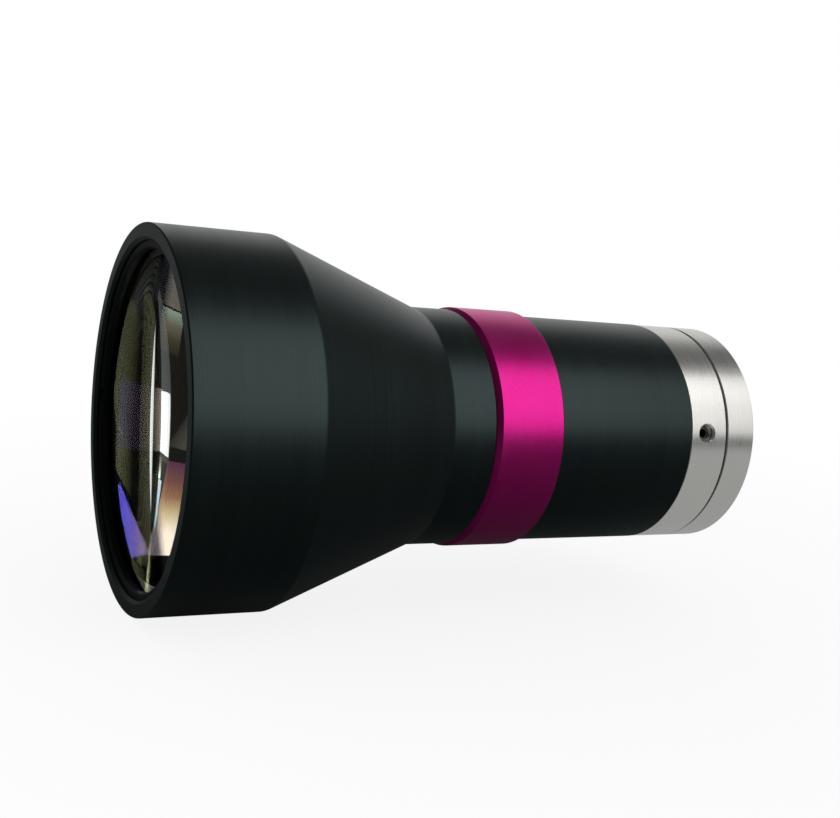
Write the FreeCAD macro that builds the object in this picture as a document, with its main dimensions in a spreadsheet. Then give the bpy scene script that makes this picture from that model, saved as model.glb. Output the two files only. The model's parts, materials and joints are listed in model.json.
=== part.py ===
import FreeCAD, Part
import math
import os
import re
import Sketcher

# Bi-telecentric lens for machine vision, with the standard one inch by 32 turns camera thread.
# Its optical axis is X: the front glass looks towards -X and the camera screws on from +X.
# The origin is the centre of the flange that the camera body stops on. All sizes are in millimetres.
#
# Outlines are drawn as (distance behind the front rim, distance from the axis), and every piece
# is then moved forward by the length from the rim to the flange.

DRIVING_SIZES = {
    # Clearances
    "glass_clearance": "0.05",
    "thread_clearance": "0.03",
    "sliding_clearance": "0.05",
    "turning_clearance": "0.05",
    "seat_clearance": "0.02",
    "tip_clearance": "0.1",
    # Front housing, outside
    "front_wall": "2.65",
    "front_cylinder_length": "19.3",
    "cone_length": "25.9",
    "neck_wall": "2.77",
    "neck_length": "7.8",
    "edge_chamfer": "0.25",
    # Front housing, inside
    "rim_bevel": "0.5",
    "seat_land": "1.4",
    "bore_end_radius": "16.6",
    # Front glass, its retaining ring and spacer
    "front_glass_radius": "27",
    "front_glass_depth": "0.4",
    "front_glass_thickness": "8",
    "front_glass_front_curve": "210",
    "front_glass_rear_curve": "260",
    "retainer_thread_step": "0.5",
    "retainer_lip": "0.6",
    "retainer_width": "1.2",
    "retainer_bevel": "0.3",
    "spanner_slot_width": "1.6",
    "spanner_slot_depth": "0.5",
    "objective_gap": "3.4",
    "spacer_lip": "0.5",
    # Cemented objective pair
    "objective_glass_step": "1.5",
    "objective_seat_width": "1.2",
    "objective_crown_edge": "1.35",
    "objective_crown_curve": "95",
    "objective_cement_curve": "80",
    "objective_flint_thickness": "3",
    "objective_flint_curve": "300",
    "cement_thickness": "0.02",
    # Baffle held between the housing and the nose of the barrel
    "baffle_thickness": "0.8",
    "baffle_aperture_radius": "11.5",
    "baffle_knife_edge": "0.5",
    # Accent ring
    "ring_rise": "0.45",
    "ring_width": "12.6",
    "ring_front_chamfer": "0.8",
    # Rear barrel
    "barrel_drop": "0.75",
    "nose_wall": "1.9",
    "nose_length": "6.8",
    "ring_seat_step": "0.95",
    "barrel_tail_length": "8.3",
    "tail_thread_step": "1.4",
    "thread_lead": "0.3",
    # Cell that carries the stop and the relay glass
    "cell_wall": "2",
    "cell_front_overhang": "4",
    "cell_edge_chamfer": "0.2",
    "lock_screw_setback": "6",
    "web_thickness": "2.2",
    "web_ahead_of_lock": "1.1",
    "web_lip": "3",
    "cell_thread_step": "0.4",
    "stop_thickness": "0.5",
    "stop_aperture_radius": "4.5",
    "stop_knife_edge": "0.3",
    "stop_retainer_width": "2",
    "stop_retainer_lip": "2.4",
    "stop_retainer_bevel": "0.3",
    # Relay glass
    "relay_glass_radius": "13.5",
    "relay_spacer_lip": "1.2",
    "meniscus_thickness": "5",
    "meniscus_front_curve": "40",
    "meniscus_rear_curve": "26",
    "relay_front_gap": "1.2",
    "relay_crown_thickness": "6.2",
    "relay_crown_curve": "45",
    "relay_cement_curve": "34",
    "relay_flint_thickness": "2.2",
    "relay_flint_curve": "60",
    "relay_rear_gap": "2",
    "biconvex_thickness": "5",
    "biconvex_front_curve": "48",
    "biconvex_rear_curve": "60",
    "relay_retainer_width": "1.6",
    "cell_rear_lip": "0.25",
    # Mount collar
    "collar_drop": "0.05",
    "collar_width": "7.8",
    "collar_spigot_length": "6",
    "collar_web": "1.1",
    "collar_wall": "3.75",
    "collar_screw_setback": "3.4",
    # Camera mount, which turns inside the collar
    "parting_gap": "0.4",
    "flange_width": "6.2",
    "flange_chamfer": "0.35",
    "camera_thread_radius": "12.7",
    "camera_thread_length": "3.8",
    "camera_thread_wall": "1.7",
    "camera_thread_chamfer": "0.4",
    "rear_baffle_thickness": "1.9",
    "rear_baffle_step": "1.2",
    "rear_baffle_aperture_radius": "8.5",
    # Screws: a groove floor is half the width of the flat at the bottom of its groove
    "groove_depth": "0.9",
    "groove_floor": "0.3",
    "screw_tip_flat": "0.6",
    "screw_clocking": "9",
    "mount_screw_radius": "1.5",
    "mount_screw_length": "3",
    "mount_screw_socket": "1.5",
    "mount_screw_mouth": "0.35",
    "lock_screw_radius": "1",
    "lock_screw_length": "3",
    "lock_screw_socket": "0.9",
    "lock_screw_mouth": "0.2",
    "socket_depth_share": "0.5",
    "screw_top_chamfer": "0.2",
}

SCREWS_ROUND = 3
SPANNER_SLOTS = 2
BORE_STEPS = 8


def sag(curve, height):
    """Formula for how far a spherical face of this radius falls back at a height from the axis."""
    return f"({curve} - sqrt({curve}^2 - {height}^2))"


WORKED_OUT = {
    # Radii, from the front glass outwards and inwards
    "front_bore_radius": "front_glass_radius + glass_clearance",
    "retainer_bore_radius": "front_bore_radius + retainer_thread_step",
    "retainer_radius": "retainer_bore_radius - thread_clearance",
    "retainer_inner_radius": "front_glass_radius - retainer_lip",
    "front_radius": "retainer_bore_radius + front_wall",
    "objective_glass_radius": "front_glass_radius - objective_glass_step",
    "objective_bore_radius": "objective_glass_radius + glass_clearance",
    "objective_seat_radius": "objective_glass_radius - objective_seat_width",
    "spacer_inner_radius": "objective_glass_radius - spacer_lip",
    # Radii, from the relay glass outwards
    "relay_bore_radius": "relay_glass_radius + glass_clearance",
    "relay_spacer_radius": "relay_glass_radius - relay_spacer_lip",
    "cell_thread_radius": "relay_bore_radius + cell_thread_step",
    "cell_radius": "relay_bore_radius + cell_wall",
    "cell_groove_radius": "cell_radius - groove_depth",
    "cell_bore_radius": "cell_radius + sliding_clearance",
    "nose_radius": "cell_bore_radius + nose_wall",
    "neck_thread_radius": "nose_radius + thread_clearance",
    "neck_radius": "neck_thread_radius + neck_wall",
    "ring_seat_radius": "nose_radius + ring_seat_step",
    "ring_inner_radius": "ring_seat_radius + sliding_clearance",
    "ring_radius": "neck_radius + ring_rise",
    "barrel_radius": "ring_radius - barrel_drop",
    "tail_thread_radius": "cell_bore_radius + tail_thread_step",
    "collar_spigot_radius": "tail_thread_radius - thread_clearance",
    "collar_radius": "barrel_radius - collar_drop",
    "collar_bore_radius": "collar_radius - collar_wall",
    "pilot_radius": "collar_bore_radius - turning_clearance",
    "pilot_groove_radius": "pilot_radius - groove_depth",
    "camera_bore_radius": "camera_thread_radius - camera_thread_wall",
    "rear_baffle_radius": "camera_bore_radius + rear_baffle_step",
    # Distances of the front group behind the rim
    "front_glass_rear": "front_glass_depth + front_glass_thickness",
    "retainer_rear": "front_glass_depth - seat_clearance + "
    + sag("front_glass_front_curve", "retainer_inner_radius"),
    "retainer_front": "retainer_rear - retainer_width",
    "retainer_bore_end": "retainer_rear + thread_lead",
    "spacer_front": "front_glass_rear + seat_clearance - "
    + sag("front_glass_rear_curve", "spacer_inner_radius"),
    "objective_front": "front_glass_rear + objective_gap",
    "spacer_rear": "objective_front - seat_clearance + "
    + sag("objective_crown_curve", "spacer_inner_radius"),
    "objective_bore_start": "spacer_rear + thread_lead",
    "objective_cement": "objective_front + objective_crown_edge + "
    + sag("objective_crown_curve", "objective_glass_radius")
    + " + "
    + sag("objective_cement_curve", "objective_glass_radius"),
    "flint_front": "objective_cement + cement_thickness",
    "flint_rear": "flint_front + objective_flint_thickness",
    "objective_seat": "flint_rear + seat_clearance - "
    + sag("objective_flint_curve", "objective_seat_radius"),
    "bore_start": "objective_seat + seat_land",
    # Distances of the outside and of the baffle behind the rim
    "cone_start": "front_cylinder_length",
    "cone_end": "cone_start + cone_length",
    "ring_start": "cone_end + neck_length",
    "ring_end": "ring_start + ring_width",
    "nose_front": "ring_start - nose_length",
    "baffle_seat": "nose_front - baffle_thickness",
    # Distances of the cell and the relay glass behind the rim
    "lock_screw_place": "ring_start + lock_screw_setback",
    "cell_front": "lock_screw_place - cell_front_overhang",
    "web_front": "lock_screw_place - web_ahead_of_lock",
    "web_rear": "web_front + web_thickness",
    "stop_front": "web_front - stop_thickness",
    "meniscus_front": "web_rear + seat_clearance + " + sag("meniscus_front_curve", "relay_glass_radius"),
    "meniscus_rear": "meniscus_front + meniscus_thickness",
    "relay_spacer_1_front": "meniscus_rear + seat_clearance - "
    + sag("meniscus_rear_curve", "relay_spacer_radius"),
    "relay_crown_front": "meniscus_rear + relay_front_gap",
    "relay_spacer_1_rear": "relay_crown_front - seat_clearance + "
    + sag("relay_crown_curve", "relay_spacer_radius"),
    "relay_cement": "relay_crown_front + relay_crown_thickness",
    "relay_flint_front": "relay_cement + cement_thickness",
    "relay_flint_rear": "relay_flint_front + relay_flint_thickness",
    "relay_spacer_2_front": "relay_flint_rear + seat_clearance + "
    + sag("relay_flint_curve", "relay_glass_radius"),
    "biconvex_front": "relay_flint_rear + relay_rear_gap",
    "relay_spacer_2_rear": "biconvex_front - seat_clearance + "
    + sag("biconvex_front_curve", "relay_spacer_radius"),
    "biconvex_rear": "biconvex_front + biconvex_thickness",
    "relay_retainer_front": "biconvex_rear + seat_clearance - "
    + sag("biconvex_rear_curve", "relay_spacer_radius"),
    "relay_retainer_rear": "relay_retainer_front + relay_retainer_width",
    "cell_rear": "relay_retainer_rear + cell_rear_lip",
    # Distances of the collar and the camera mount behind the rim
    "barrel_end": "cell_rear + barrel_tail_length",
    "collar_spigot_front": "barrel_end - collar_spigot_length",
    "tail_thread_start": "collar_spigot_front - thread_lead",
    "collar_seat": "barrel_end + collar_web",
    "mount_screw_place": "barrel_end + collar_screw_setback",
    "collar_end": "barrel_end + collar_width",
    "pilot_front": "collar_seat + turning_clearance",
    "rear_baffle_front": "pilot_front + turning_clearance",
    "rear_baffle_seat": "rear_baffle_front + rear_baffle_thickness",
    "flange_front": "collar_end + parting_gap",
    "flange_face": "flange_front + flange_width",
    "camera_thread_end": "flange_face + camera_thread_length",
    # Heights of the screw tips over the axis
    "mount_screw_tip": "pilot_groove_radius + screw_tip_flat - groove_floor + tip_clearance",
    "lock_screw_tip": "cell_groove_radius + screw_tip_flat - groove_floor + tip_clearance",
}

CELLS = {name: f"Sizes.{name}" for name in DRIVING_SIZES}
CELLS.update({name: f"Places.{name}" for name in WORKED_OUT})


def tied(formula):
    """Formula with each named size written as its cell in the sheets."""
    return re.sub(r"[a-z][a-z_0-9]+", lambda word: CELLS.get(word.group(), word.group()), formula)


def fill_sheet(name, rows, sign=""):
    """Spreadsheet with a name in column A and its content, under that alias, in column B."""
    sheet = doc.addObject("Spreadsheet::Sheet", name)
    for row, (alias, content) in enumerate(rows.items(), start=1):
        sheet.set(f"A{row}", alias)
        sheet.set(f"B{row}", sign + content)
        sheet.setAlias(f"B{row}", alias)
    doc.recompute()
    return sheet


def value(formula):
    """Number that a formula comes to with the sheets as they are."""
    return float(places.evalExpression(tied(formula)))


def new_body(label, back="-flange_face", turn="0"):
    """Body that stands at a distance behind the flange and is turned about the optical axis."""
    body = doc.addObject("PartDesign::Body", label)
    body.Label = label
    body.Placement = FreeCAD.Placement(
        FreeCAD.Vector(value(back), 0, 0), FreeCAD.Rotation(FreeCAD.Vector(1, 0, 0), value(turn))
    )
    body.setExpression("Placement.Base.x", tied(back))
    body.setExpression("Placement.Rotation.Angle", tied(turn))
    pieces.append(body)
    return body


def new_sketch(body, plane_role):
    """Empty sketch on one of the planes of the body's own origin."""
    sketch = body.newObject("Sketcher::SketchObject", f"{body.Name}_outline")
    plane = next(part for part in body.Origin.OriginFeatures if part.Role == plane_role)
    sketch.AttachmentSupport = (plane, [""])
    sketch.MapMode = "FlatFace"
    return sketch


def tie_constraint(sketch, constraint, formula):
    """Add a constraint whose size follows a formula."""
    number = sketch.addConstraint(constraint)
    sketch.setExpression(f"Constraints[{number}]", tied(formula))


def corner_outline(body, plane_role, corners):
    """Closed sketch of straight lines through corners, each tied to its two formulas."""
    sketch = new_sketch(body, plane_role)
    points = [FreeCAD.Vector(value(along), value(up), 0) for along, up in corners]
    count = len(points)
    for index in range(count):
        sketch.addGeometry(Part.LineSegment(points[index], points[(index + 1) % count]), False)
    joints = [Sketcher.Constraint("Coincident", i, 2, (i + 1) % count, 1) for i in range(count)]
    sketch.addConstraint(joints)
    for index, (along, up) in enumerate(corners):
        tie_constraint(sketch, Sketcher.Constraint("DistanceX", index, 1, points[index].x), along)
        tie_constraint(sketch, Sketcher.Constraint("DistanceY", index, 1, points[index].y), up)
    return sketch


def add_feature(body, kind, sketch):
    """Feature made from a sketch, as the new tip of the body."""
    feature = body.newObject(f"PartDesign::{kind}", f"{body.Name}_{kind.lower()}")
    feature.Profile = sketch
    body.Tip = feature
    return feature


def turned(label, corners, turn="0"):
    """Body turned about the optical axis from a closed outline."""
    body = new_body(label, turn=turn)
    revolution = add_feature(body, "Revolution", corner_outline(body, "XY_Plane", corners))
    revolution.ReferenceAxis = (revolution.Profile[0], ["H_Axis"])
    revolution.Angle = 360
    return body


def plain_ring(label, front, rear, inner, outer, bevel="0"):
    """Turned ring with an optional bevel at the front of its hole."""
    corners = [(front, outer), (rear, outer), (rear, inner)]
    if value(bevel) > 0:
        corners += [(f"{front} + {bevel}", inner), (front, f"{inner} + {bevel}")]
    else:
        corners += [(front, inner)]
    return turned(label, corners)


def knife_edge_ring(label, front, rear, aperture, outer, edge):
    """Thin diaphragm whose hole is sharp at its front face."""
    return turned(label, [(front, outer), (rear, outer), (rear, f"{aperture} + {edge}"), (front, aperture)])


def add_glass_face(sketch, vertex, curve, centre_behind, height):
    """Arc of a spherical face from its vertex on the axis to a height; gives its two ends."""
    radius = value(curve)
    side = 1 if centre_behind else -1
    centre = FreeCAD.Vector(value(vertex) + side * radius, 0, 0)
    lean = math.asin(value(height) / radius)
    circle = Part.Circle(centre, FreeCAD.Vector(0, 0, 1), radius)
    if centre_behind:
        arc = Part.ArcOfCircle(circle, math.pi - lean, math.pi)
    else:
        arc = Part.ArcOfCircle(circle, 0, lean)
    number = sketch.addGeometry(arc, False)
    on_axis, at_edge = (2, 1) if centre_behind else (1, 2)
    sketch.addConstraint(Sketcher.Constraint("PointOnObject", number, 3, -1))
    sketch.addConstraint(Sketcher.Constraint("PointOnObject", number, on_axis, -1))
    tie_constraint(sketch, Sketcher.Constraint("DistanceX", number, on_axis, value(vertex)), vertex)
    tie_constraint(sketch, Sketcher.Constraint("Radius", number, radius), curve)
    tie_constraint(sketch, Sketcher.Constraint("DistanceY", number, at_edge, value(height)), height)
    return number, on_axis, at_edge


def glass(label, radius, front, rear):
    """Lens turned about the optical axis; each face is (vertex, curve, whether its centre is behind)."""
    body = new_body(label)
    sketch = new_sketch(body, "XY_Plane")
    ends = [add_glass_face(sketch, *face, radius) for face in (front, rear)]
    for kind in (2, 1):
        joined = [(end[0], end[kind]) for end in ends]
        points = [sketch.getPoint(*place) for place in joined]
        line = sketch.addGeometry(Part.LineSegment(*points), False)
        sketch.addConstraint(
            [Sketcher.Constraint("Coincident", line, tip, *joined[tip - 1]) for tip in (1, 2)]
        )
    revolution = add_feature(body, "Revolution", sketch)
    revolution.ReferenceAxis = (sketch, ["H_Axis"])
    revolution.Angle = 360
    return body


def pattern_round(body, feature, count):
    """Repeat a cut evenly about the optical axis and make the pattern the tip of the body."""
    pattern = body.newObject("PartDesign::PolarPattern", f"{body.Name}_pattern")
    axis = next(part for part in body.Origin.OriginFeatures if part.Role == "X_Axis")
    pattern.Originals = [feature]
    pattern.Axis = (axis, [""])
    pattern.Angle = 360
    pattern.Occurrences = count
    body.Tip = pattern


def check_cut(body, before):
    """Stop when the last features of a body took no material away."""
    doc.recompute()
    if body.Shape.Volume >= before:
        raise RuntimeError(f"{body.Label}: a cut misses the solid")


def drill_screw_holes(body, place, radius, mouth, low, high):
    """Radial holes round the body, each with a conical mouth, as a groove about the hole's own axis."""
    doc.recompute()
    before = body.Shape.Volume
    overrun = "turning_clearance"
    corners = [
        (place, low),
        (f"{place} + {radius}", low),
        (f"{place} + {radius}", f"{high} - {mouth}"),
        (f"{place} + {radius} + {mouth} + {overrun}", f"{high} + {overrun}"),
        (place, f"{high} + {overrun}"),
    ]
    groove = add_feature(body, "Groove", corner_outline(body, "XZ_Plane", corners))
    groove.ReferenceAxis = (groove.Profile[0], [f"Edge{len(corners)}"])
    groove.Angle = 360
    pattern_round(body, groove, SCREWS_ROUND)
    check_cut(body, before)


def screw_angle(index):
    """Formula for the turn of a screw or its hole, from straight up towards the viewer's side."""
    return f"90 - screw_clocking + {index} * 360 / {SCREWS_ROUND}"


def set_screw(label, index, place, tip, radius, length, socket):
    """Set screw with a flat on its cone point and a hexagon socket, standing out from the axis."""
    body = new_body(label, back=f"{place} - flange_face", turn=screw_angle(index))
    shank = f"{radius} - sliding_clearance"
    top = f"{tip} + {length}"
    corners = [
        ("0", tip),
        ("screw_tip_flat", tip),
        (shank, f"{tip} + {shank} - screw_tip_flat"),
        (shank, f"{top} - screw_top_chamfer"),
        (f"{shank} - screw_top_chamfer", top),
        ("0", top),
    ]
    revolution = add_feature(body, "Revolution", corner_outline(body, "XZ_Plane", corners))
    revolution.ReferenceAxis = (revolution.Profile[0], ["V_Axis"])
    revolution.Angle = 360
    doc.recompute()
    before = body.Shape.Volume
    across_corners = f"{socket} / sqrt(3)"
    hexagon = corner_outline(
        body,
        "XY_Plane",
        [(f"{across_corners} * cos({60 * k})", f"{across_corners} * sin({60 * k})") for k in range(6)],
    )
    hexagon.setExpression("AttachmentOffset.Base.z", tied(top))
    pocket = add_feature(body, "Pocket", hexagon)
    pocket.setExpression("Length", tied(f"{length} * socket_depth_share"))
    check_cut(body, before)


def build_front_housing():
    """Housing: rim, cylinder, cone and neck outside; seats, stepped light trap and thread inside."""
    corners = [
        ("0", "front_radius - edge_chamfer"),
        ("edge_chamfer", "front_radius"),
        ("cone_start", "front_radius"),
        ("cone_end", "neck_radius"),
        ("ring_start", "neck_radius"),
        ("ring_start", "neck_thread_radius"),
        ("baffle_seat", "neck_thread_radius"),
    ]
    run = "(baffle_seat - bore_start)"
    rise = "(objective_seat_radius - bore_end_radius)"
    for step in range(BORE_STEPS):
        radius = f"bore_end_radius + {rise} * {step} / {BORE_STEPS}"
        corners.append((f"baffle_seat - {run} * {step} / {BORE_STEPS}", radius))
        corners.append((f"baffle_seat - {run} * {step + 1} / {BORE_STEPS}", radius))
    corners += [
        ("bore_start", "objective_seat_radius"),
        ("objective_seat", "objective_seat_radius"),
        ("objective_seat", "objective_bore_radius"),
        ("objective_bore_start", "objective_bore_radius"),
        ("objective_bore_start", "front_bore_radius"),
        ("retainer_bore_end", "front_bore_radius"),
        ("retainer_bore_end", "retainer_bore_radius"),
        ("rim_bevel", "retainer_bore_radius"),
        ("0", "retainer_bore_radius + rim_bevel"),
    ]
    turned("front_housing", corners)


def build_front_group():
    """Front glass, its retaining ring and spacer, and the cemented objective pair."""
    ring = plain_ring(
        "front_retaining_ring",
        "retainer_front",
        "retainer_rear",
        "retainer_inner_radius",
        "retainer_radius",
        "retainer_bevel",
    )
    cut_spanner_slots(ring)
    glass(
        "front_element",
        "front_glass_radius",
        ("front_glass_depth", "front_glass_front_curve", True),
        ("front_glass_rear", "front_glass_rear_curve", False),
    )
    plain_ring("front_spacer", "spacer_front", "spacer_rear", "spacer_inner_radius", "front_glass_radius")
    glass(
        "objective_crown",
        "objective_glass_radius",
        ("objective_front", "objective_crown_curve", True),
        ("objective_cement", "objective_cement_curve", False),
    )
    glass(
        "objective_flint",
        "objective_glass_radius",
        ("flint_front", "objective_cement_curve", False),
        ("flint_rear", "objective_flint_curve", False),
    )


def cut_spanner_slots(ring):
    """Slots across the front face of the retaining ring for a spanner."""
    doc.recompute()
    before = ring.Shape.Volume
    slot = corner_outline(
        ring,
        "XZ_Plane",
        [
            ("retainer_front - spanner_slot_depth", "-spanner_slot_width / 2"),
            ("retainer_front + spanner_slot_depth", "-spanner_slot_width / 2"),
            ("retainer_front + spanner_slot_depth", "spanner_slot_width / 2"),
            ("retainer_front - spanner_slot_depth", "spanner_slot_width / 2"),
        ],
    )
    pocket = add_feature(ring, "Pocket", slot)
    pocket.setExpression("Length", tied("front_radius"))
    pattern_round(ring, pocket, SPANNER_SLOTS)
    check_cut(ring, before)


def build_barrel():
    """Baffle, accent ring and the rear barrel with its nose, ring seat and tail thread."""
    knife_edge_ring(
        "light_baffle",
        "baffle_seat",
        "nose_front",
        "baffle_aperture_radius",
        "nose_radius - sliding_clearance",
        "baffle_knife_edge",
    )
    turned(
        "accent_ring",
        [
            ("ring_start", "ring_radius - ring_front_chamfer"),
            ("ring_start + ring_front_chamfer", "ring_radius"),
            ("ring_end - edge_chamfer", "ring_radius"),
            ("ring_end", "ring_radius - edge_chamfer"),
            ("ring_end", "ring_inner_radius"),
            ("ring_start", "ring_inner_radius"),
        ],
    )
    barrel = turned(
        "rear_barrel",
        [
            ("nose_front", "nose_radius - thread_lead"),
            ("nose_front + thread_lead", "nose_radius"),
            ("ring_start", "nose_radius"),
            ("ring_start", "ring_seat_radius"),
            ("ring_end", "ring_seat_radius"),
            ("ring_end", "barrel_radius - edge_chamfer"),
            ("ring_end + edge_chamfer", "barrel_radius"),
            ("barrel_end - edge_chamfer", "barrel_radius"),
            ("barrel_end", "barrel_radius - edge_chamfer"),
            ("barrel_end", "tail_thread_radius"),
            ("tail_thread_start", "tail_thread_radius"),
            ("tail_thread_start", "cell_bore_radius"),
            ("nose_front", "cell_bore_radius"),
        ],
        turn=screw_angle(0),
    )
    drill_screw_holes(
        barrel,
        "lock_screw_place",
        "lock_screw_radius",
        "lock_screw_mouth",
        "nose_wall",
        "ring_seat_radius",
    )


def build_cell():
    """Cell with the stop in front, a web in the middle and the bore for the relay glass behind."""
    turned(
        "lens_cell",
        [
            ("cell_front", "cell_radius - cell_edge_chamfer"),
            ("cell_front + cell_edge_chamfer", "cell_radius"),
            ("lock_screw_place - groove_floor - groove_depth", "cell_radius"),
            ("lock_screw_place - groove_floor", "cell_groove_radius"),
            ("lock_screw_place + groove_floor", "cell_groove_radius"),
            ("lock_screw_place + groove_floor + groove_depth", "cell_radius"),
            ("cell_rear - cell_edge_chamfer", "cell_radius"),
            ("cell_rear", "cell_radius - cell_edge_chamfer"),
            ("cell_rear", "cell_thread_radius"),
            ("relay_retainer_front - thread_lead", "cell_thread_radius"),
            ("relay_retainer_front - thread_lead", "relay_bore_radius"),
            ("web_rear", "relay_bore_radius"),
            ("web_rear", "relay_glass_radius - web_lip"),
            ("web_front", "relay_glass_radius - web_lip"),
            ("web_front", "cell_thread_radius"),
            ("cell_front", "cell_thread_radius"),
        ],
    )
    knife_edge_ring(
        "aperture_stop",
        "stop_front",
        "web_front",
        "stop_aperture_radius",
        "cell_thread_radius - sliding_clearance",
        "stop_knife_edge",
    )
    plain_ring(
        "stop_retainer",
        "stop_front - stop_retainer_width",
        "stop_front",
        "cell_thread_radius - stop_retainer_lip",
        "cell_thread_radius - thread_clearance",
        "stop_retainer_bevel",
    )


def build_relay_group():
    """Relay glass behind the stop with the rings that space and hold it."""
    glass(
        "relay_meniscus",
        "relay_glass_radius",
        ("meniscus_front", "meniscus_front_curve", False),
        ("meniscus_rear", "meniscus_rear_curve", False),
    )
    plain_ring(
        "relay_spacer_front",
        "relay_spacer_1_front",
        "relay_spacer_1_rear",
        "relay_spacer_radius",
        "relay_glass_radius",
    )
    glass(
        "relay_crown",
        "relay_glass_radius",
        ("relay_crown_front", "relay_crown_curve", True),
        ("relay_cement", "relay_cement_curve", False),
    )
    glass(
        "relay_flint",
        "relay_glass_radius",
        ("relay_flint_front", "relay_cement_curve", False),
        ("relay_flint_rear", "relay_flint_curve", True),
    )
    plain_ring(
        "relay_spacer_rear",
        "relay_spacer_2_front",
        "relay_spacer_2_rear",
        "relay_spacer_radius",
        "relay_glass_radius",
    )
    glass(
        "relay_biconvex",
        "relay_glass_radius",
        ("biconvex_front", "biconvex_front_curve", True),
        ("biconvex_rear", "biconvex_rear_curve", False),
    )
    plain_ring(
        "relay_retaining_ring",
        "relay_retainer_front",
        "relay_retainer_rear",
        "relay_spacer_radius",
        "cell_thread_radius - thread_clearance",
    )


def build_collar():
    """Collar that screws into the barrel and takes the pilot of the camera mount."""
    collar = turned(
        "mount_collar",
        [
            ("collar_spigot_front", "collar_spigot_radius - thread_lead"),
            ("collar_spigot_front + thread_lead", "collar_spigot_radius"),
            ("barrel_end", "collar_spigot_radius"),
            ("barrel_end", "collar_radius - edge_chamfer"),
            ("barrel_end + edge_chamfer", "collar_radius"),
            ("collar_end - edge_chamfer", "collar_radius"),
            ("collar_end", "collar_radius - edge_chamfer"),
            ("collar_end", "collar_bore_radius"),
            ("collar_seat", "collar_bore_radius"),
            ("collar_seat", "relay_glass_radius"),
            ("collar_spigot_front", "relay_glass_radius"),
        ],
        turn=screw_angle(0),
    )
    drill_screw_holes(
        collar,
        "mount_screw_place",
        "mount_screw_radius",
        "mount_screw_mouth",
        "collar_wall",
        "collar_radius",
    )


def build_camera_mount():
    """Mount that turns in the collar: grooved pilot, flange, camera thread and rear baffle."""
    turned(
        "camera_mount",
        [
            ("pilot_front", "pilot_radius - thread_lead"),
            ("pilot_front + thread_lead", "pilot_radius"),
            ("mount_screw_place - groove_floor - groove_depth", "pilot_radius"),
            ("mount_screw_place - groove_floor", "pilot_groove_radius"),
            ("mount_screw_place + groove_floor", "pilot_groove_radius"),
            ("mount_screw_place + groove_floor + groove_depth", "pilot_radius"),
            ("flange_front", "pilot_radius"),
            ("flange_front", "collar_radius - edge_chamfer"),
            ("flange_front + edge_chamfer", "collar_radius"),
            ("flange_face - flange_chamfer", "collar_radius"),
            ("flange_face", "collar_radius - flange_chamfer"),
            ("flange_face", "camera_thread_radius"),
            ("camera_thread_end - camera_thread_chamfer", "camera_thread_radius"),
            ("camera_thread_end", "camera_thread_radius - camera_thread_chamfer"),
            ("camera_thread_end", "camera_bore_radius"),
            ("rear_baffle_seat", "camera_bore_radius"),
            ("rear_baffle_seat", "rear_baffle_radius"),
            ("pilot_front", "rear_baffle_radius"),
        ],
    )
    knife_edge_ring(
        "rear_baffle",
        "rear_baffle_front",
        "rear_baffle_seat",
        "rear_baffle_aperture_radius",
        "rear_baffle_radius - thread_clearance",
        "baffle_knife_edge",
    )


def build_screws():
    """Set screws that hold the camera mount in the collar and the cell in the barrel."""
    for index in range(SCREWS_ROUND):
        set_screw(
            f"mount_set_screw_{index + 1}",
            index,
            "mount_screw_place",
            "mount_screw_tip",
            "mount_screw_radius",
            "mount_screw_length",
            "mount_screw_socket",
        )
        set_screw(
            f"cell_lock_screw_{index + 1}",
            index,
            "lock_screw_place",
            "lock_screw_tip",
            "lock_screw_radius",
            "lock_screw_length",
            "lock_screw_socket",
        )


def write_pieces():
    """Check every object of the document, then write one file for each piece."""
    doc.recompute()
    for item in doc.Objects:
        if {"Invalid", "Error"} & set(item.State):
            raise RuntimeError(f"{item.Label} is not sound: {item.State}")
    for piece in pieces:
        if piece.Shape.isNull() or not piece.Shape.isValid() or piece.Shape.Volume <= 0:
            raise RuntimeError(f"{piece.Label} has no valid solid")
    os.makedirs("parts", exist_ok=True)
    for piece in pieces:
        piece.Shape.exportStep(f"parts/{piece.Label}.step")
        print(piece.Label, len(piece.Shape.Solids), round(piece.Shape.Volume, 2))


doc = FreeCAD.newDocument("telecentric_lens")
sizes = fill_sheet("Sizes", DRIVING_SIZES)
places = fill_sheet("Places", {name: tied(formula) for name, formula in WORKED_OUT.items()}, sign="=")
pieces = []

build_front_housing()
build_front_group()
build_barrel()
build_cell()
build_relay_group()
build_collar()
build_camera_mount()
build_screws()
write_pieces()
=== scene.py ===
"""Looks of a bi-telecentric machine vision lens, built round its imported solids.

The lens lies on its optical axis, X, with the front glass towards -X and the camera thread towards
+X. Sizes in the classes are millimetres; meshes and places are metres, as Blender has them.
"""
import json
import logging
import math
from collections.abc import Callable, Sequence
from dataclasses import dataclass, field
from enum import Enum

import bpy
from mathutils import Matrix, Vector


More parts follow.
